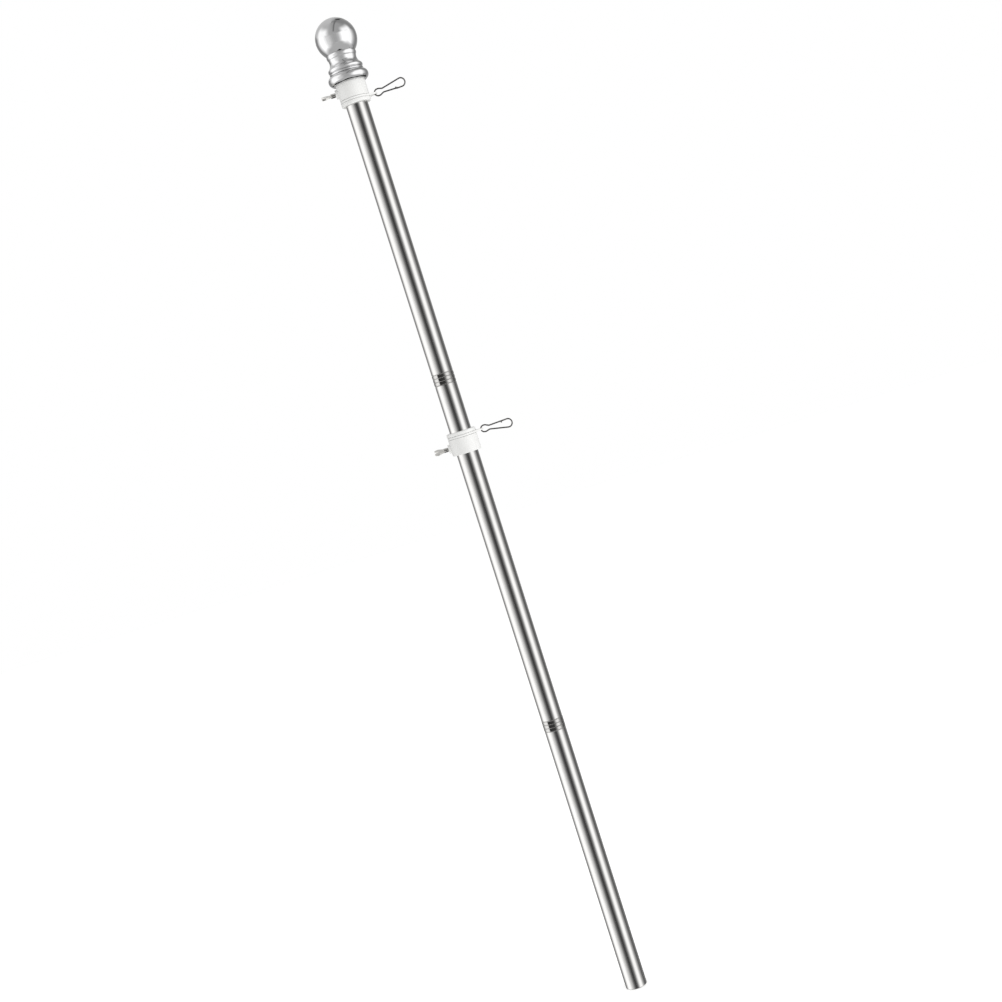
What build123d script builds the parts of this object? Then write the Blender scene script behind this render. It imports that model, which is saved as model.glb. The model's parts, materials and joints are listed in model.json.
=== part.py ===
from build123d import *
import os
from math import sqrt

# A house flagpole of three screwed tube sections, with a ball finial and two swivel collars.
# Each collar is clamped to the tube by a wing screw and carries a free-turning ring with a wire clip.
# Millimetres, +Z up the pole. The origin is the centre of the foot's end face. The clips stand out
# along +X and the wing screws along -X. Screw threads are drawn as plain cylinders.

# Pole tube
tube_diameter = 25.4
tube_wall = 0.7
tube_end_break = 0.2
foot_edge_radius = 0.45
top_tube_end = 1114.1

# Ribbed joints between the sections
lower_joint_height = 329.6
upper_joint_height = 749.1
rib_count = 3
rib_pitch = 4.2
rib_proud = 0.15
groove_width = 1.0
groove_depth = 0.5
spigot_depth = 24.0
plug_depth = 22.0
stud_diameter = 16.0
stud_length = 20.0
stud_bore = 10.0

# Fits: what is pressed or slid together, what turns, and what must only not rub
press_clearance = 0.05
slide_clearance = 0.05
turn_clearance = 0.25
loose_clearance = 0.3

# Finial
base_height = 11.7
base_foot_diameter = 39.8
base_belly_diameter = 46.4
base_belly_height = 5.4
base_rim_height = 0.3
base_edge_break = 0.15
skirt_recess_depth = 1.2
bead_seat_diameter = 36.6
bead_ring_height = 2.3
bead_ring_diameter = 39.0
neck_height = 20.3
neck_socket_depth = 5.65
neck_rim_diameter = 39.8
neck_rim_height = 2.1
neck_flare_diameter = 37.6
neck_flare_height = 5.0
neck_waist_diameter = 31.5
neck_waist_height = 11.8
neck_groove_diameter = 32.1
neck_groove_height = 14.8
neck_bead_diameter = 34.3
neck_top_diameter = 33.4
ball_diameter = 47.2
ball_wall = 2.2
ball_spigot_height = 2.0
finial_plug_depth = 22.0
finial_flange = 1.5
finial_stud_diameter = 10.0
finial_stud_length = 12.0

# Swivel collars, drawn with the cap's outer face at z = 0 and the body above it
lower_collar_below_joint = 62.3
cap_diameter = 34.4
cap_height = 4.0
cap_face = 2.0
cap_edge_radius = 1.6
ring_slot = 3.0
ring_edge_radius = 0.4
shoulder_edge_radius = 0.2
collar_diameter = 34.0
collar_body_height = 18.9
collar_edge_radius = 0.8
collar_neck_wall = 1.7
boss_diameter = 10.2
boss_reach = 19.5
boss_height = 9.55
boss_edge_radius = 0.5

# Lug of the swivel ring, with a round bar that the clip's eye hangs on
lug_bar_radius_from_axis = 24.85
lug_bar_diameter = 1.7
lug_root_width = 15.0
lug_tip_width = 6.4
lug_window_width = 2.8

# Wire clip, from the inner end of its eye to the round end of its loop
wire_diameter = 1.6
clip_length = 36.5
eye_height = 7.7
eye_shoulder = 5.4
waist_height = 4.4
waist_place = 9.8
loop_height = 9.7
upper_clip_tilt = 6.5
lower_clip_tilt = 4.5
gate_end = 26.9
hook_place = 24.5
hook_turn = 1.9
shoulder_bend_radius = 2.4
waist_bend_radius = 3.2
hook_bend_radius = 1.2
round_bend_share = 0.985

# Wing screw
screw_diameter = 4.0
screw_hub_diameter = 5.0
screw_hub_length = 5.6
screw_hub_edge_radius = 0.6
wing_length = 15.0
wing_root_width = 3.4
wing_span = 13.2
wing_widest_place = 9.2
wing_tip_spread = 8.6
wing_notch_depth = 7.6
wing_thickness = 1.8
wing_shoulder_radius = 3.0
wing_tip_radius = 1.2
wing_roll = 22.0

# Derived sizes
tube_radius = tube_diameter / 2
tube_bore = tube_radius - tube_wall
joint_half = rib_count * rib_pitch / 2 + groove_width / 2
rib_radius = tube_radius + rib_proud
groove_radius = rib_radius - groove_depth
plug_radius = tube_bore - press_clearance
sleeve_bore = tube_radius + slide_clearance
collar_bore = tube_radius + loose_clearance
neck_radius = collar_bore + collar_neck_wall
collar_length = cap_height + ring_slot + collar_body_height
lower_collar_top = upper_joint_height - lower_collar_below_joint
ring_middle = cap_height + ring_slot / 2
ring_thickness = ring_slot - 2 * turn_clearance
screw_height = cap_height + ring_slot + boss_height
flange_top = top_tube_end + finial_flange
neck_seat = flange_top + press_clearance - neck_socket_depth
bead_seat = neck_seat - bead_ring_height
finial_seat = bead_seat - base_height
skirt_ceiling = finial_seat + skirt_recess_depth
ball_seat = neck_seat + neck_height
ball_radius = ball_diameter / 2
ball_seat_drop = sqrt(ball_radius**2 - (neck_bead_diameter / 2) ** 2)


def turned(outline):
    """A solid of revolution about the pole's axis, from a closed outline of (radius, height)."""
    return revolve(Plane.XZ * make_face(outline), Axis.Z)


def sleeve(outer, inner, low, high):
    """A plain ring or tube between two heights."""
    height = high - low
    return Pos(0, 0, low) * (
        Cylinder(outer, height, align=(Align.CENTER, Align.CENTER, Align.MIN))
        - Cylinder(inner, height, align=(Align.CENTER, Align.CENTER, Align.MIN))
    )


def edges_at(part, radius, height):
    """The round edges of a turned part with the given radius and height."""
    circles = part.edges().filter_by(GeomType.CIRCLE)
    return [
        edge
        for edge in circles
        if abs(edge.radius - radius) < 1e-4 and abs(edge.center().Z - height) < 1e-4
    ]


def pole_section(low, high, foot=False):
    """One tube section, with broken outer edges, and the foot's rounded edge on the lowest."""
    tube = sleeve(tube_radius, tube_bore, low, high)
    tube = chamfer(edges_at(tube, tube_radius, high), tube_end_break)
    if foot:
        return fillet(edges_at(tube, tube_radius, low), foot_edge_radius)
    return chamfer(edges_at(tube, tube_radius, low), tube_end_break)


def joint_socket(height):
    """The ribbed ring between two sections, with its spigot in the tube below and a screwed bore.

    Its ribs stand a hair proud of the tubes, with round-bottomed grooves between and beside them."""
    low, high = height - joint_half, height + joint_half
    bore = stud_diameter / 2
    first_rib, last_rib = low + groove_width, high - groove_width
    outline = Polyline(
        (groove_radius, high - groove_width / 2),
        (groove_radius, high),
        (bore, high),
        (bore, low - spigot_depth),
        (plug_radius, low - spigot_depth),
        (plug_radius, low),
        (groove_radius, low),
        (groove_radius, low + groove_width / 2),
    )
    outline += TangentArc((groove_radius, low + groove_width / 2), (rib_radius, first_rib), tangent=(0, 1))
    for i in range(rib_count - 1):
        rib = first_rib + i * rib_pitch
        groove = rib + rib_pitch - groove_width
        outline += Line((rib_radius, rib), (rib_radius, groove))
        outline += ThreePointArc(
            (rib_radius, groove),
            (groove_radius, groove + groove_width / 2),
            (rib_radius, groove + groove_width),
        )
    outline += Line((rib_radius, last_rib - rib_pitch + groove_width), (rib_radius, last_rib))
    outline += TangentArc(
        (groove_radius, high - groove_width / 2), (rib_radius, last_rib), tangent=(0, -1)
    )
    return turned(outline)


def joint_stud(height):
    """The hollow plug in the upper section's foot, with the stud that screws into the socket."""
    seat = height + joint_half
    plug = sleeve(plug_radius, stud_bore / 2, seat, seat + plug_depth)
    stud_radius = stud_diameter / 2 - press_clearance
    return plug + sleeve(stud_radius, stud_bore / 2, seat - stud_length, seat)


def finial_stud():
    """The plug in the top of the pole, with a flange on the tube's end and the finial's stud."""
    plug = sleeve(plug_radius, stud_bore / 2, top_tube_end - finial_plug_depth, top_tube_end)
    flange = Pos(0, 0, top_tube_end) * Cylinder(
        tube_radius, finial_flange, align=(Align.CENTER, Align.CENTER, Align.MIN)
    )
    stud = Pos(0, 0, flange_top) * Cylinder(
        finial_stud_diameter / 2,
        finial_stud_length,
        align=(Align.CENTER, Align.CENTER, Align.MIN),
    )
    return plug + flange + stud


def finial_base():
    """The bellied skirt that slides over the top of the pole, hollowed below to take the collar's end."""
    rim_radius, rim_top = base_foot_diameter / 2, finial_seat + base_rim_height
    recess_radius = collar_diameter / 2 + loose_clearance
    outline = ThreePointArc(
        (rim_radius, rim_top),
        (base_belly_diameter / 2, finial_seat + base_belly_height),
        (bead_seat_diameter / 2, bead_seat),
    )
    outline += Polyline(
        (bead_seat_diameter / 2, bead_seat),
        (sleeve_bore, bead_seat),
        (sleeve_bore, skirt_ceiling),
        (recess_radius, skirt_ceiling),
        (recess_radius, finial_seat),
        (rim_radius, finial_seat),
        (rim_radius, rim_top),
    )
    skirt = turned(outline)
    return chamfer(edges_at(skirt, rim_radius, finial_seat), base_edge_break)


def finial_bead():
    """The thin round bead between the skirt and the neck."""
    outline = ThreePointArc(
        (bead_seat_diameter / 2, bead_seat),
        (bead_ring_diameter / 2, (bead_seat + neck_seat) / 2),
        (bead_seat_diameter / 2, neck_seat),
    )
    outline += Polyline(
        (bead_seat_diameter / 2, neck_seat),
        (sleeve_bore, neck_seat),
        (sleeve_bore, bead_seat),
        (bead_seat_diameter / 2, bead_seat),
    )
    return turned(outline)


def finial_neck():
    """The turned neck: a rim, a concave flare to the waist, and a bead under the ball."""
    rim = (neck_rim_diameter / 2, neck_seat + neck_rim_height)
    flare = (neck_flare_diameter / 2, neck_seat + neck_flare_height)
    waist = (neck_waist_diameter / 2, neck_seat + neck_waist_height)
    groove = (neck_groove_diameter / 2, neck_seat + neck_groove_height)
    top = (neck_top_diameter / 2, ball_seat)
    bead = (neck_bead_diameter / 2, (groove[1] + ball_seat) / 2)
    ball_opening = sqrt((ball_radius - ball_wall) ** 2 - ball_seat_drop**2)
    spigot = ball_opening - press_clearance
    socket_top = neck_seat + neck_socket_depth
    stud_bore_radius = finial_stud_diameter / 2 + press_clearance
    outline = ThreePointArc((bead_seat_diameter / 2, neck_seat), rim, flare)
    outline += TangentArc(waist, flare, tangent=(0, -1), tangent_from_first=True)
    outline += Line(waist, groove)
    outline += ThreePointArc(groove, bead, top)
    outline += Polyline(
        top,
        (spigot, ball_seat),
        (spigot, ball_seat + ball_spigot_height),
        (stud_bore_radius, ball_seat + ball_spigot_height),
        (stud_bore_radius, socket_top),
        (sleeve_bore, socket_top),
        (sleeve_bore, neck_seat),
        (bead_seat_diameter / 2, neck_seat),
    )
    return turned(outline)


def finial_ball():
    """The hollow ball, cut flat where it sits on the neck: the flat is as wide as the neck's bead."""
    shell = Sphere(ball_radius) - Sphere(ball_radius - ball_wall)
    below = Pos(0, 0, -ball_seat_drop) * Box(
        ball_diameter, ball_diameter, ball_diameter, align=(Align.CENTER, Align.CENTER, Align.MAX)
    )
    return Pos(0, 0, ball_seat + ball_seat_drop) * (shell - below)


def collar_body():
    """The clamped part of a collar: its body, the neck that the ring turns on, and the screw's boss."""
    shoulder = cap_height + ring_slot
    body = sleeve(collar_diameter / 2, collar_bore, shoulder, collar_length)
    body = fillet(edges_at(body, collar_diameter / 2, collar_length), collar_edge_radius)
    body = fillet(edges_at(body, collar_diameter / 2, shoulder), shoulder_edge_radius)
    body += sleeve(neck_radius, collar_bore, cap_face, shoulder)
    boss = Rot(0, -90, 0) * Cylinder(
        boss_diameter / 2, boss_reach, align=(Align.CENTER, Align.CENTER, Align.MIN)
    )
    boss = fillet(boss.edges().group_by(Axis.X)[0], boss_edge_radius)
    inside = Cylinder(neck_radius, collar_length * 2)
    body += Pos(0, 0, screw_height) * boss - inside
    bore = Rot(0, -90, 0) * Cylinder(
        screw_diameter / 2 + turn_clearance,
        boss_reach,
        align=(Align.CENTER, Align.CENTER, Align.MIN),
    )
    return body - Pos(0, 0, screw_height) * bore


def collar_cap():
    """The cap pressed on the neck's end, which keeps the ring on."""
    cap = sleeve(cap_diameter / 2, collar_bore, 0, cap_height)
    cap -= Pos(0, 0, cap_face) * Cylinder(
        neck_radius + press_clearance,
        cap_height,
        align=(Align.CENTER, Align.CENTER, Align.MIN),
    )
    cap = fillet(edges_at(cap, cap_diameter / 2, cap_height), ring_edge_radius)
    return fillet(edges_at(cap, cap_diameter / 2, 0), cap_edge_radius)


def swivel_ring():
    """The ring that turns between cap and body, and its tapered lug with the clip's bar."""
    bar_radius = lug_bar_diameter / 2
    eye_reach = (eye_height + wire_diameter) / 2 + loose_clearance
    plan = make_face(
        Polyline(
            (neck_radius, lug_root_width / 2),
            (lug_bar_radius_from_axis, lug_tip_width / 2),
            (lug_bar_radius_from_axis, -lug_tip_width / 2),
            (neck_radius, -lug_root_width / 2),
            close=True,
        )
    )
    profile = make_face(
        Polyline(
            (neck_radius, ring_thickness / 2),
            (collar_diameter / 2, ring_thickness / 2),
            (lug_bar_radius_from_axis, bar_radius),
            (lug_bar_radius_from_axis, -bar_radius),
            (collar_diameter / 2, -ring_thickness / 2),
            (neck_radius, -ring_thickness / 2),
            close=True,
        )
    )
    lug = extrude(plan, ring_thickness, both=True) & extrude(
        Plane.XZ * profile, lug_root_width, both=True
    )
    window = Pos(lug_bar_radius_from_axis, 0, 0) * Box(
        eye_reach,
        lug_window_width,
        2 * ring_thickness,
        align=(Align.MAX, Align.CENTER, Align.CENTER),
    )
    bar = Pos(lug_bar_radius_from_axis, 0, 0) * Rot(90, 0, 0) * Cylinder(bar_radius, lug_tip_width)
    ring = Cylinder(collar_diameter / 2, ring_thickness)
    ring = fillet(ring.edges().filter_by(GeomType.CIRCLE), ring_edge_radius)
    ring += (lug - window) + bar
    ring -= Cylinder(neck_radius + turn_clearance, 2 * ring_thickness)
    return Pos(0, 0, ring_middle) * ring


def clip_wire(tilt):
    """The clip: one bent wire with an eye, a waist and a long loop whose end hooks on the gate.

    The gate is the wire's other end, which springs in behind the hook. The clip hangs at its own tilt."""
    eye, waist, loop = eye_height / 2, waist_height / 2, loop_height / 2
    slope = (loop - waist) / (clip_length - loop - waist_place)
    end = waist + slope * (clip_length - waist_place)
    beside = wire_diameter + press_clearance
    step_start = gate_end + 2 * wire_diameter
    step_end = gate_end + wire_diameter / 2

    def gate(place):
        return -(waist + slope * (place - waist_place))

    points_and_bends = [
        ((gate_end, 0, gate(gate_end)), None),
        ((waist_place, 0, -waist), waist_bend_radius),
        ((eye_shoulder, 0, -eye), shoulder_bend_radius),
        ((0, 0, -eye), round_bend_share * eye),
        ((0, 0, eye), round_bend_share * eye),
        ((eye_shoulder, 0, eye), shoulder_bend_radius),
        ((waist_place, 0, waist), waist_bend_radius),
        ((clip_length, 0, end), round_bend_share * loop),
        ((clip_length, 0, -end), round_bend_share * loop),
        ((step_start, 0, gate(step_start)), hook_bend_radius),
        ((step_end, beside, gate(step_end)), hook_bend_radius),
        ((hook_place, beside, gate(hook_place)), hook_bend_radius),
        ((hook_place, beside, gate(hook_place) + hook_turn), None),
    ]
    points = [point for point, bend in points_and_bends]
    bends = [bend for point, bend in points_and_bends[1:-1]]
    path = FilletPolyline(*points, radius=bends)
    section = Plane(path @ 0, z_dir=path % 0) * Circle(wire_diameter / 2)
    seat = lug_bar_diameter / 2 + loose_clearance + wire_diameter / 2
    wire = Pos(-seat, 0, 0) * sweep(section, path=path)
    return Pos(lug_bar_radius_from_axis, 0, ring_middle) * Rot(0, -tilt, 0) * wire


def wing_screw():
    """The clamp screw: a shank that bears on the tube, a round hub, and two leaf-shaped wings."""
    outwards = Rot(0, -90, 0)
    tip = tube_radius + loose_clearance
    hub_start = boss_reach + loose_clearance
    hub_end = hub_start + screw_hub_length
    wing_start = hub_start + screw_hub_length / 2
    shank = outwards * Pos(0, 0, tip) * Cylinder(
        screw_diameter / 2, hub_end - tip, align=(Align.CENTER, Align.CENTER, Align.MIN)
    )
    hub = outwards * Pos(0, 0, hub_start) * Cylinder(
        screw_hub_diameter / 2, screw_hub_length, align=(Align.CENTER, Align.CENTER, Align.MIN)
    )
    hub = fillet(hub.edges().filter_by(GeomType.CIRCLE), screw_hub_edge_radius)
    leaf = make_face(
        FilletPolyline(
            (-wing_start, 0),
            (-wing_start, wing_root_width / 2),
            (-wing_start - wing_widest_place, wing_span / 2),
            (-wing_start - wing_length, wing_tip_spread / 2),
            (-wing_start - wing_notch_depth, 0),
            radius=[0, 0, wing_shoulder_radius, wing_tip_radius, 0],
            close=True,
        )
    )
    wings = extrude(leaf + mirror(leaf, Plane.XZ), wing_thickness / 2, both=True)
    return Pos(0, 0, screw_height) * Rot(wing_roll, 0, 0) * (shank + hub + wings)


os.makedirs("parts", exist_ok=True)
lower_low, lower_high = lower_joint_height - joint_half, lower_joint_height + joint_half
upper_low, upper_high = upper_joint_height - joint_half, upper_joint_height + joint_half
pieces = {
    "lower_tube": pole_section(0, lower_low, foot=True),
    "middle_tube": pole_section(lower_high, upper_low),
    "upper_tube": pole_section(upper_high, top_tube_end),
    "lower_joint_socket": joint_socket(lower_joint_height),
    "lower_joint_stud": joint_stud(lower_joint_height),
    "upper_joint_socket": joint_socket(upper_joint_height),
    "upper_joint_stud": joint_stud(upper_joint_height),
    "finial_stud": finial_stud(),
    "finial_base": finial_base(),
    "finial_bead": finial_bead(),
    "finial_neck": finial_neck(),
    "finial_ball": finial_ball(),
}
collar_places = {
    "upper": Location((0, 0, skirt_ceiling - collar_length)),
    "lower": Location((0, 0, lower_collar_top), (180, 0, 0)),
}
clip_tilts = {"upper": upper_clip_tilt, "lower": lower_clip_tilt}
collar_pieces = {
    "collar_body": collar_body(),
    "collar_cap": collar_cap(),
    "swivel_ring": swivel_ring(),
    "wing_screw": wing_screw(),
}
for collar, place in collar_places.items():
    for name, piece in collar_pieces.items():
        pieces[f"{collar}_{name}"] = place * piece
    pieces[f"{collar}_clip_wire"] = place * clip_wire(clip_tilts[collar])
for name, piece in pieces.items():
    export_step(piece, f"parts/{name}.step")
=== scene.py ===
import json
from math import cos, pi, radians, sin, tan

import bmesh
import bpy
from mathutils import Matrix, Vector


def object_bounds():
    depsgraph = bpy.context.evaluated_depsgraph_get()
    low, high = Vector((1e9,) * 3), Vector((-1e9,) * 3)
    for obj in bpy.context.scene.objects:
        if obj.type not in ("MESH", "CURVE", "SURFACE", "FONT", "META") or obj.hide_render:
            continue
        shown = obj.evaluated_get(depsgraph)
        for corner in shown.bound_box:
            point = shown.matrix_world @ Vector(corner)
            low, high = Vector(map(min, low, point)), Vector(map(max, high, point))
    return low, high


# A house flagpole: polished stainless tube in three sections, a chrome-plated ball finial, and two white
# swivel collars with wire clips and wing screws. Metres, +Z up the pole, clips along +X.
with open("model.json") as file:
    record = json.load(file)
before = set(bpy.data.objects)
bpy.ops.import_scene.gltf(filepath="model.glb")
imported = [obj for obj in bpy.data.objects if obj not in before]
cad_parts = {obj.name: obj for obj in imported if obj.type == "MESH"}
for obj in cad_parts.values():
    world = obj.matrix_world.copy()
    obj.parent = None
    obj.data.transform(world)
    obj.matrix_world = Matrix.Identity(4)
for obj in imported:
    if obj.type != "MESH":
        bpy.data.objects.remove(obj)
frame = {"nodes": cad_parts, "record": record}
cad_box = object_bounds()

MM = 0.001
nodes = frame["nodes"]


def linear(hex_colour):
    """A linear RGBA colour from an sRGB hex value."""
    channels = [int(hex_colour[i : i + 2], 16) / 255 for i in (1, 3, 5)]
    return [c / 12.92 if c <= 0.04045 else ((c + 0.055) / 1.055) ** 2.4 for c in channels] + [1.0]


def add_node(tree, kind, settings=None, inputs=None):
    """Adds a shader node, with its settings, and with its inputs as values or as links from other nodes."""
    node = tree.nodes.new(kind)
    for name, value in (settings or {}).items():
        setattr(node, name, value)
    for name, value in (inputs or {}).items():
        if isinstance(value, bpy.types.Node):
            value = value.outputs[0]
        if isinstance(value, bpy.types.NodeSocket):
            tree.links.new(value, node.inputs[name])
        else:
            node.inputs[name].default_value = value
    return node


# ---------------------------------------------------------------- camera
# Square to the pole at three quarters of a metre up, looking a little down, and rolled so that the
# pole leans left
CAMERA_TARGET = Vector((0.0199, 0, 0.59565))
CAMERA_DISTANCE = 1.840
CAMERA_PITCH = radians(5)
CAMERA_LEAN = radians(17.563)
CAMERA_LENS = 57.5
CAMERA_SENSOR = 36
CAMERA_REACH = 100


def make_camera():
    data = bpy.data.cameras.new("camera")
    data.sensor_width = CAMERA_SENSOR
    data.lens = CAMERA_LENS
    data.clip_end = CAMERA_REACH
    camera = bpy.data.objects.new("camera", data)
    ahead = Vector((0, cos(CAMERA_PITCH), -sin(CAMERA_PITCH)))
    level = Vector((1, 0, 0))
    over = level.cross(ahead)
    right = level * cos(CAMERA_LEAN) - over * sin(CAMERA_LEAN)
    up = level * sin(CAMERA_LEAN) + over * cos(CAMERA_LEAN)
    axes = Matrix((right, up, -ahead)).transposed().to_4x4()
    camera.matrix_world = Matrix.Translation(CAMERA_TARGET - ahead * CAMERA_DISTANCE) @ axes
    bpy.context.scene.collection.objects.link(camera)
    bpy.context.scene.camera = camera


# ---------------------------------------------------------------- studio
# What the metal mirrors at pole height, as (azimuth from the camera's side in degrees, brightness).
# Azimuth 0 is behind the camera, positive to its right: bright boards either side of a dark gap.
LEVEL_BAND = [
    (-180, 0.40), (-130, 0.30), (-98, 1.6), (-72, 1.55), (-61, 1.25), (-58, 0.06), (-8, 0.06), (4, 0.08),
    (18, 0.32), (40, 1.5), (58, 1.5), (79, 0.6), (104, 0.14), (116, 0.15), (180, 0.55),
]
BAND_BOTTOM, BAND_TOP = -29, 21
BAND_SOFT_EDGE = 4
# What it mirrors above that, where no soft box stands, and below it
CEILING_ROUND = [
    (-180, 0.7), (-120, 0.68), (-40, 0.6), (0, 0.46), (60, 0.46), (100, 0.32), (140, 0.32), (180, 0.7),
]
GROUND = 0.58
# The soft boxes left and right of the pole, as (azimuths, azimuth edge, bottom and top)
MIRRORED_BOXES = [((-117, -45), 18, (-34, 50)), ((42, 103), 14, (-34, 38))]
BOX_BRIGHTNESS = 1.45
BOX_END_EDGE = 12
# Dark things that the finial mirrors, as (azimuth, elevation, half-width): a stand before the pole, the dark
# ground behind and below it, and a lamp head overhead
DARK_SPOTS = [(0, -74, 6), (180, -55, 40), (0, -86, 17), (150, 56, 6)]
SPOT_SOFT_EDGE = 2
SPOT_BRIGHTNESS = 0.02
# The lamp's boom, from one direction to another over the pole, with no end overhead
BOOM_ENDS = ((-2, 32), (150, 56))
BOOM_HALF_WIDTH = 3
BOOM_LOWEST, BOOM_HIGHEST = 32, 95
BOOM_BRIGHTNESS = 0.22
# What matt surfaces take from all round
AMBIENT = 0.72


def direction_of(azimuth, elevation):
    """The unit vector towards an azimuth and elevation in degrees."""
    turn, lift = radians(azimuth), radians(elevation)
    return Vector((sin(turn) * cos(lift), -cos(turn) * cos(lift), sin(lift)))


def paint_ramp(ramp, stops):
    """Sets a colour ramp's stops from (share, brightness) pairs."""
    elements = ramp.color_ramp.elements
    elements.remove(elements[1])
    for i, (share, brightness) in enumerate(stops):
        element = elements.new(share) if i else elements[0]
        element.position = share
        element.color = (brightness, brightness, brightness, 1)


def between(tree, value, low, high, edge):
    """A share that is 1 between two values, with soft edges."""
    rise = {"Value": value, "From Min": low - edge, "From Max": low + edge}
    fall = {"Value": value, "From Min": high + edge, "From Max": high - edge}
    steps = [
        add_node(tree, "ShaderNodeMapRange", {"interpolation_type": "SMOOTHSTEP"}, limits)
        for limits in (rise, fall)
    ]
    return add_node(tree, "ShaderNodeMath", {"operation": "MINIMUM"}, {0: steps[0], 1: steps[1]})


def make_world():
    """A white backdrop for the camera, and soft boxes for what the pole mirrors."""
    world = bpy.data.worlds.new("studio")
    bpy.context.scene.world = world
    world.use_nodes = True
    tree = world.node_tree
    direction = add_node(tree, "ShaderNodeTexCoord").outputs["Generated"]
    parts = add_node(tree, "ShaderNodeSeparateXYZ", inputs={"Vector": direction}).outputs
    behind = add_node(tree, "ShaderNodeMath", {"operation": "MULTIPLY"}, {0: parts["Y"], 1: -1.0})
    round_angle = add_node(tree, "ShaderNodeMath", {"operation": "ARCTAN2"}, {0: parts["X"], 1: behind})
    azimuth = add_node(tree, "ShaderNodeMath", {"operation": "DEGREES"}, {0: round_angle})
    rise_angle = add_node(tree, "ShaderNodeMath", {"operation": "ARCSINE"}, {0: parts["Z"]})
    elevation = add_node(tree, "ShaderNodeMath", {"operation": "DEGREES"}, {0: rise_angle})
    share = add_node(
        tree, "ShaderNodeMapRange", inputs={"Value": azimuth, "From Min": -180.0, "From Max": 180.0}
    )
    level, ceiling = [add_node(tree, "ShaderNodeValToRGB", inputs={"Fac": share}) for _ in range(2)]
    for ramp, stops in ((level, LEVEL_BAND), (ceiling, CEILING_ROUND)):
        paint_ramp(ramp, [((degrees + 180) / 360, brightness) for degrees, brightness in stops])
    upwards = add_node(tree, "ShaderNodeMath", {"operation": "GREATER_THAN"}, {0: elevation, 1: 0.0})
    studio = add_node(tree, "ShaderNodeMix", inputs={"Factor": upwards, "A": GROUND, "B": ceiling})
    for azimuths, side_edge, heights in MIRRORED_BOXES:
        across = between(tree, azimuth, *azimuths, side_edge)
        upright = between(tree, elevation, *heights, BOX_END_EDGE)
        in_box = add_node(tree, "ShaderNodeMath", {"operation": "MULTIPLY"}, {0: across, 1: upright})
        studio = add_node(tree, "ShaderNodeMix", inputs={"Factor": in_box, "A": studio, "B": BOX_BRIGHTNESS})
    in_band = between(tree, elevation, BAND_BOTTOM, BAND_TOP, BAND_SOFT_EDGE)
    studio = add_node(tree, "ShaderNodeMix", inputs={"Factor": in_band, "A": studio, "B": level})
    start, end = (direction_of(*angles) for angles in BOOM_ENDS)
    beside = add_node(
        tree,
        "ShaderNodeVectorMath",
        {"operation": "DOT_PRODUCT"},
        {0: direction, 1: start.cross(end).normalized()},
    ).outputs["Value"]
    half_width = sin(radians(BOOM_HALF_WIDTH))
    on_boom = between(tree, beside, -half_width, half_width, half_width / 2)
    overhead = between(tree, elevation, BOOM_LOWEST, BOOM_HIGHEST, SPOT_SOFT_EDGE)
    boom = add_node(tree, "ShaderNodeMath", {"operation": "MULTIPLY"}, {0: on_boom, 1: overhead})
    studio = add_node(tree, "ShaderNodeMix", inputs={"Factor": boom, "A": studio, "B": BOOM_BRIGHTNESS})
    for spot_azimuth, spot_elevation, half_width in DARK_SPOTS:
        middle = direction_of(spot_azimuth, spot_elevation)
        nearness = add_node(
            tree, "ShaderNodeVectorMath", {"operation": "DOT_PRODUCT"}, {0: direction, 1: middle}
        ).outputs["Value"]
        rim, core = (cos(radians(half_width + step)) for step in (SPOT_SOFT_EDGE, -SPOT_SOFT_EDGE))
        spot = add_node(
            tree,
            "ShaderNodeMapRange",
            {"interpolation_type": "SMOOTHSTEP"},
            {"Value": nearness, "From Min": rim, "From Max": core},
        )
        studio = add_node(tree, "ShaderNodeMix", inputs={"Factor": spot, "A": studio, "B": SPOT_BRIGHTNESS})
    ray = add_node(tree, "ShaderNodeLightPath").outputs
    lit = add_node(tree, "ShaderNodeMix", inputs={"Factor": ray["Is Diffuse Ray"], "A": studio, "B": AMBIENT})
    seen = add_node(tree, "ShaderNodeMix", inputs={"Factor": ray["Is Camera Ray"], "A": lit, "B": 1.0})
    tree.links.new(seen.outputs[0], tree.nodes["Background"].inputs["Color"])
    world.cycles.sampling_method = "NONE"
    bpy.context.scene.view_settings.view_transform = "Standard"


# Soft boxes that shade the white plastic, as (azimuth, elevation, brightness on what faces it). The metal
# doesn't mirror them.
SOFT_BOXES = [(62, 12, 0.27), (-150, 20, 0.07), (20, 75, 0.08)]
SOFT_BOX_SIZE = 1.3
SOFT_BOX_DISTANCE = 2.6

TUBES = ("lower_tube", "middle_tube", "upper_tube")
FINIAL_METAL = ("finial_base", "finial_bead", "finial_neck", "finial_ball")
# The inner part of the left board, as (azimuth, brightness). The joints don't mirror it, so they show a
# wider dark gap than the tubes do.
LEFT_BOARD = [(-61, 0.0), (-58, 1.13), (-42, 0.7), (-21, 0.14), (-8, 0.015)]
# Fill lights that lift the finial's dark gaps, which the tubes keep
FRONT_FILL = [(-52, 0.0), (-22, 0.37), (-2, 0.46), (17, 0.37), (47, 0.0)]
FRONT_GLOW = [(-60, 0.0), (-2, 0.22), (55, 0.0)]
RIGHT_FILL = [(58, 0.0), (76, 0.8), (92, 1.1), (104, 0.75), (118, 0.3), (134, 0.0)]
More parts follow.
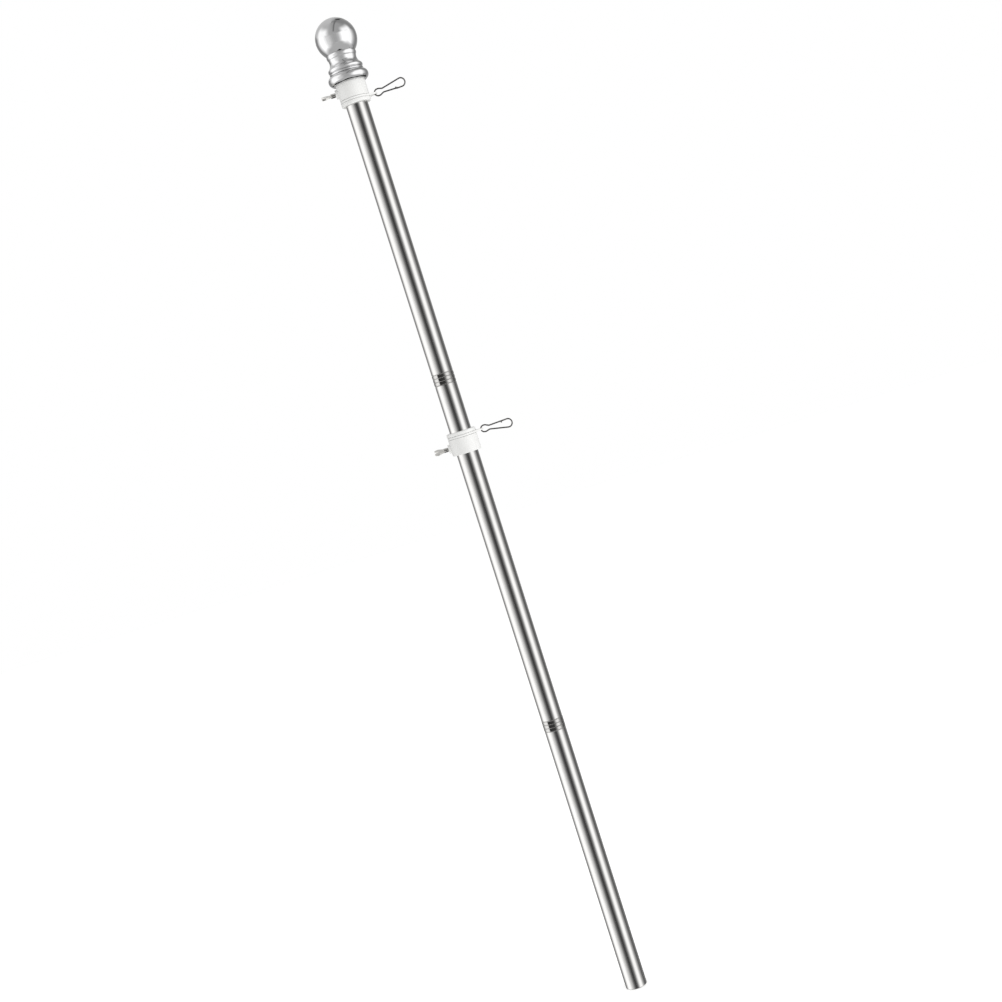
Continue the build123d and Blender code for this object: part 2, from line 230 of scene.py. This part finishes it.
# Cards that only some metal mirrors, as (what mirrors it, its brightness round the pole, the heights that it
# runs between in metres, and the share of its height over which each end fades)
CARDS = [
    (TUBES, LEFT_BOARD, (-1.4, 2.2), 0.05),
    (FINIAL_METAL, LEFT_BOARD, (-0.41, 2.27), 0.07),
    (FINIAL_METAL, FRONT_FILL, (-0.41, 2.27), 0.07),
    (FINIAL_METAL, FRONT_GLOW, (-0.75, 2.9), 0.5),
    (FINIAL_METAL, RIGHT_FILL, (-0.41, 2.27), 0.07),
]
CARD_DISTANCE = 2.4


def make_soft_boxes():
    """Square soft boxes round the pole, facing its middle."""
    low, high = (Vector(corner) for corner in cad_box)
    middle = (low + high) / 2
    for i, (azimuth, elevation, brightness) in enumerate(SOFT_BOXES):
        towards = direction_of(azimuth, elevation)
        data = bpy.data.lights.new(f"soft_box_{i}", "AREA")
        data.size = SOFT_BOX_SIZE
        # The energy that gives a white surface facing the box its brightness
        data.energy = brightness * (pi * SOFT_BOX_DISTANCE) ** 2
        light = bpy.data.objects.new(data.name, data)
        axes = towards.to_track_quat("Z", "Y").to_matrix().to_4x4()
        light.matrix_world = Matrix.Translation(middle + towards * SOFT_BOX_DISTANCE) @ axes
        light.visible_glossy = False
        light.visible_camera = False
        bpy.context.scene.collection.objects.link(light)


def make_cards():
    """Upright cards round the pole, each mirrored by its own pieces and brighter or darker across."""
    for i, (names, stops, (bottom, top), end_edge) in enumerate(CARDS):
        receivers = bpy.data.collections.new(f"mirrors_card_{i}")
        for name in names:
            receivers.objects.link(nodes[name])
        first, last = stops[0][0], stops[-1][0]
        towards = direction_of((first + last) / 2, 0)
        half_angle = radians(last - first) / 2
        data = bpy.data.lights.new(f"card_{i}", "AREA")
        data.shape = "RECTANGLE"
        data.size = 2 * CARD_DISTANCE * tan(half_angle)
        data.size_y = top - bottom
        # The energy of a card of brightness 1, which its ramp scales
        data.energy = pi * data.size * data.size_y
        data.use_nodes = True
        tree = data.node_tree
        across = add_node(tree, "ShaderNodeNewGeometry").outputs["Parametric"]
        parts = add_node(tree, "ShaderNodeSeparateXYZ", inputs={"Vector": across}).outputs
        ramp = add_node(tree, "ShaderNodeValToRGB", inputs={"Fac": parts["X"]})
        offsets = [tan(radians(azimuth - first) - half_angle) / tan(half_angle) for azimuth, _ in stops]
        paint_ramp(ramp, [((1 + offset) / 2, stop[1]) for offset, stop in zip(offsets, stops)])
        tall = between(tree, parts["Y"], end_edge, 1 - end_edge, end_edge)
        card = add_node(tree, "ShaderNodeMath", {"operation": "MULTIPLY"}, {0: ramp, 1: tall})
        tree.links.new(card.outputs[0], tree.nodes["Emission"].inputs["Strength"])
        light = bpy.data.objects.new(data.name, data)
        place = towards * CARD_DISTANCE + Vector((0, 0, (top + bottom) / 2))
        light.matrix_world = Matrix.Translation(place) @ towards.to_track_quat("Z", "Y").to_matrix().to_4x4()
        light.light_linking.receiver_collection = receivers
        light.visible_diffuse = False
        light.visible_camera = False
        bpy.context.scene.collection.objects.link(light)


FLOOR_HALF_SIZE = 6.0
FLOOR_GAP = 0.3 * MM
FLOOR_ROUGHNESS = 0.9
FLOOR_SPECULAR = 0.1
# Lifts the floor to the backdrop's white
FLOOR_GLOW = 0.36


def make_floor():
    """A plain pale floor under the pole's foot."""
    mesh = bpy.data.meshes.new("studio_floor")
    form = bmesh.new()
    bmesh.ops.create_grid(form, x_segments=1, y_segments=1, size=FLOOR_HALF_SIZE)
    bmesh.ops.translate(form, verts=form.verts, vec=(0, 0, -FLOOR_GAP))
    form.to_mesh(mesh)
    form.free()
    floor = bpy.data.objects.new("studio_floor", mesh)
    bpy.context.scene.collection.objects.link(floor)
    floor.visible_glossy = False
    floor.visible_shadow = False
    material = bpy.data.materials.new("pale_floor")
    material.use_nodes = True
    shader = material.node_tree.nodes["Principled BSDF"]
    shader.inputs["Base Color"].default_value = linear("#F7F7F6")
    shader.inputs["Roughness"].default_value = FLOOR_ROUGHNESS
    shader.inputs["Specular IOR Level"].default_value = FLOOR_SPECULAR
    shader.inputs["Emission Color"].default_value = linear("#FFFFFF")
    shader.inputs["Emission Strength"].default_value = FLOOR_GLOW
    material.cycles.emission_sampling = "NONE"
    mesh.materials.append(material)


# ---------------------------------------------------------------- materials
# The values that a noise texture mostly keeps to
NOISE_SPAN = {"From Min": 0.3, "From Max": 0.7}
# A mix node's colour sockets, which its other sockets share their names with
FIRST_COLOUR, SECOND_COLOUR, MIXED_COLOUR = 6, 7, 2
POLYPROPYLENE_IOR = 1.49
NYLON_IOR = 1.53


def new_material(name, metallic=0.0):
    """An empty principled material: its node tree, shader and object coordinates."""
    material = bpy.data.materials.new(name)
    material.use_nodes = True
    tree = material.node_tree
    shader = tree.nodes["Principled BSDF"]
    shader.inputs["Metallic"].default_value = metallic
    place = add_node(tree, "ShaderNodeTexCoord").outputs["Object"]
    return material, tree, shader, place


def link_surface(tree, shader, tint, gloss, relief):
    """Gives a shader the colour, roughness and bump made for it."""
    tree.links.new(tint.outputs[MIXED_COLOUR], shader.inputs["Base Color"])
    tree.links.new(gloss.outputs[0], shader.inputs["Roughness"])
    tree.links.new(relief.outputs[0], shader.inputs["Normal"])


def polished_stainless():
    """Stainless steel tube, belt-polished along its length: a near mirror with the faintest draw lines."""
    # Real draw lines are finer: these are as coarse as they need to be to show
    line_spacing, line_depth, line_stretch = 0.45 * MM, 0.002 * MM, 300
    cloud_size = 14 * MM
    material, tree, shader, place = new_material("polished_stainless_tube", metallic=1.0)
    drawn = add_node(tree, "ShaderNodeMapping", inputs={"Vector": place, "Scale": (1, 1, 1 / line_stretch)})
    lines = add_node(
        tree, "ShaderNodeTexNoise", inputs={"Vector": drawn, "Scale": 1 / line_spacing, "Detail": 3.0}
    )
    clouds = add_node(tree, "ShaderNodeTexNoise", inputs={"Vector": place, "Scale": 1 / cloud_size})
    tint = add_node(
        tree,
        "ShaderNodeMix",
        {"data_type": "RGBA"},
        {"Factor": clouds, FIRST_COLOUR: linear("#CDCCCA"), SECOND_COLOUR: linear("#D8D7D6")},
    )
    gloss = add_node(
        tree, "ShaderNodeMapRange", inputs={"Value": lines, **NOISE_SPAN, "To Min": 0.08, "To Max": 0.14}
    )
    relief = add_node(tree, "ShaderNodeBump", inputs={"Height": lines, "Distance": line_depth})
    link_surface(tree, shader, tint, gloss, relief)
    return material


def turned_stainless():
    """Stainless sleeve turned on a lathe: polished ribs with fine tool rings, and rougher grooves whose
    darker tint is painted shade.
    """
    ring_spacing, ring_depth, ring_squash = 0.25 * MM, 0.002 * MM, 1 / 80
    rib_radius, groove_radius = 12.8 * MM, 12.6 * MM
    groove_roughness = 0.4
    material, tree, shader, place = new_material("turned_stainless_joint", metallic=1.0)
    squashed = add_node(
        tree, "ShaderNodeMapping", inputs={"Vector": place, "Scale": (ring_squash, ring_squash, 1)}
    )
    rings = add_node(
        tree, "ShaderNodeTexNoise", inputs={"Vector": squashed, "Scale": 1 / ring_spacing, "Detail": 3.0}
    )
    flat = add_node(tree, "ShaderNodeVectorMath", {"operation": "MULTIPLY"}, {0: place, 1: (1, 1, 0)})
    radius = add_node(tree, "ShaderNodeVectorMath", {"operation": "LENGTH"}, {0: flat}).outputs["Value"]
    # How far into a groove a point lies: it drives both the painted shade in the tint and the real roughness
    # of the grooves
    groove_shade_and_roughness = add_node(
        tree,
        "ShaderNodeMapRange",
        inputs={"Value": radius, "From Min": rib_radius, "From Max": groove_radius},
    )
    # Painted shade: the second, darker colour darkens the groove floors
    tint = add_node(
        tree,
        "ShaderNodeMix",
        {"data_type": "RGBA"},
        {"Factor": groove_shade_and_roughness, FIRST_COLOUR: linear("#BDBCBA"), SECOND_COLOUR: linear("#B4B3B1")},
    )
    polish = add_node(
        tree, "ShaderNodeMapRange", inputs={"Value": rings, **NOISE_SPAN, "To Min": 0.05, "To Max": 0.1}
    )
    gloss = add_node(tree, "ShaderNodeMix", inputs={"Factor": groove_shade_and_roughness, "A": polish, "B": groove_roughness})
    relief = add_node(tree, "ShaderNodeBump", inputs={"Height": rings, "Distance": ring_depth})
    link_surface(tree, shader, tint, gloss, relief)
    return material


def satin_chrome():
    """Chrome plating on moulded plastic: bright but soft, with the faint orange peel of the moulding."""
    peel_size, peel_depth = 1.1 * MM, 0.006 * MM
    haze_size = 9 * MM
    material, tree, shader, place = new_material("satin_chrome_plating", metallic=1.0)
    peel = add_node(
        tree, "ShaderNodeTexNoise", inputs={"Vector": place, "Scale": 1 / peel_size, "Detail": 3.0}
    )
    haze = add_node(
        tree, "ShaderNodeTexNoise", inputs={"Vector": place, "Scale": 1 / haze_size, "Detail": 4.0}
    )
    tint = add_node(
        tree,
        "ShaderNodeMix",
        {"data_type": "RGBA"},
        {"Factor": haze, FIRST_COLOUR: linear("#D2D2D2"), SECOND_COLOUR: linear("#DADADB")},
    )
    gloss = add_node(
        tree, "ShaderNodeMapRange", inputs={"Value": haze, **NOISE_SPAN, "To Min": 0.06, "To Max": 0.1}
    )
    relief = add_node(tree, "ShaderNodeBump", inputs={"Height": peel, "Distance": peel_depth})
    link_surface(tree, shader, tint, gloss, relief)
    return material


def white_polypropylene():
    """White polypropylene from a finely eroded mould: a soft sheen on a faint grain."""
    grain_size, grain_depth = 0.18 * MM, 0.002 * MM
    flow_size = 7 * MM
    material, tree, shader, place = new_material("white_moulded_polypropylene")
    grain = add_node(
        tree, "ShaderNodeTexNoise", inputs={"Vector": place, "Scale": 1 / grain_size, "Detail": 2.0}
    )
    flow = add_node(
        tree, "ShaderNodeTexNoise", inputs={"Vector": place, "Scale": 1 / flow_size, "Detail": 3.0}
    )
    tint = add_node(
        tree,
        "ShaderNodeMix",
        {"data_type": "RGBA"},
        {"Factor": flow, FIRST_COLOUR: linear("#E6E6E4"), SECOND_COLOUR: linear("#EEEEED")},
    )
    gloss = add_node(
        tree, "ShaderNodeMapRange", inputs={"Value": flow, **NOISE_SPAN, "To Min": 0.34, "To Max": 0.44}
    )
    relief = add_node(tree, "ShaderNodeBump", inputs={"Height": grain, "Distance": grain_depth})
    link_surface(tree, shader, tint, gloss, relief)
    shader.inputs["IOR"].default_value = POLYPROPYLENE_IOR
    return material


def black_nylon():
    """Black nylon studs inside the tube: matt, with a fine moulded grain."""
    grain_size, grain_depth = 0.3 * MM, 0.02 * MM
    material, tree, shader, place = new_material("black_moulded_nylon")
    grain = add_node(
        tree, "ShaderNodeTexNoise", inputs={"Vector": place, "Scale": 1 / grain_size, "Detail": 2.0}
    )
    tint = add_node(
        tree,
        "ShaderNodeMix",
        {"data_type": "RGBA"},
        {"Factor": grain, FIRST_COLOUR: linear("#19191A"), SECOND_COLOUR: linear("#262627")},
    )
    gloss = add_node(
        tree, "ShaderNodeMapRange", inputs={"Value": grain, **NOISE_SPAN, "To Min": 0.45, "To Max": 0.6}
    )
    relief = add_node(tree, "ShaderNodeBump", inputs={"Height": grain, "Distance": grain_depth})
    link_surface(tree, shader, tint, gloss, relief)
    shader.inputs["IOR"].default_value = NYLON_IOR
    return material


def drawn_wire():
    """Stainless wire, cold-drawn and left grey: a hard shine broken by die marks."""
    # Real die marks are finer: these are as coarse as they need to be to show
    mark_size, mark_depth = 0.35 * MM, 0.006 * MM
    material, tree, shader, place = new_material("drawn_stainless_wire", metallic=1.0)
    marks = add_node(
        tree, "ShaderNodeTexNoise", inputs={"Vector": place, "Scale": 1 / mark_size, "Detail": 2.0}
    )
    tint = add_node(
        tree,
        "ShaderNodeMix",
        {"data_type": "RGBA"},
        {"Factor": marks, FIRST_COLOUR: linear("#757472"), SECOND_COLOUR: linear("#8A8987")},
    )
    gloss = add_node(
        tree, "ShaderNodeMapRange", inputs={"Value": marks, **NOISE_SPAN, "To Min": 0.2, "To Max": 0.3}
    )
    relief = add_node(tree, "ShaderNodeBump", inputs={"Height": marks, "Distance": mark_depth})
    link_surface(tree, shader, tint, gloss, relief)
    return material


def plated_zinc():
    """Zinc die casting with bright nickel plating: a hard shine over a slightly lumpy casting."""
    lump_size, lump_depth = 0.9 * MM, 0.03 * MM
    material, tree, shader, place = new_material("bright_plated_zinc_casting", metallic=1.0)
    lumps = add_node(
        tree, "ShaderNodeTexNoise", inputs={"Vector": place, "Scale": 1 / lump_size, "Detail": 3.0}
    )
    tint = add_node(
        tree,
        "ShaderNodeMix",
        {"data_type": "RGBA"},
        {"Factor": lumps, FIRST_COLOUR: linear("#CAC8C3"), SECOND_COLOUR: linear("#D9D8D5")},
    )
    gloss = add_node(
        tree, "ShaderNodeMapRange", inputs={"Value": lumps, **NOISE_SPAN, "To Min": 0.14, "To Max": 0.24}
    )
    relief = add_node(tree, "ShaderNodeBump", inputs={"Height": lumps, "Distance": lump_depth})
    link_surface(tree, shader, tint, gloss, relief)
    return material


def dress_nodes():
    """Gives every CAD node the finish of its material slot."""
    finishes = {
        "polished_tube": polished_stainless(),
        "joint_metal": turned_stainless(),
        "joint_plastic": black_nylon(),
        "finial_plating": satin_chrome(),
        "collar_plastic": white_polypropylene(),
        "clip_wire": drawn_wire(),
        "screw_plating": plated_zinc(),
    }
    for part in frame["record"]["subparts"]:
        mesh = nodes[part["node"]].data
        mesh.materials.clear()
        mesh.materials.append(finishes[part["material_slot"]])


make_camera()
make_world()
make_soft_boxes()
make_cards()
make_floor()
dress_nodes()
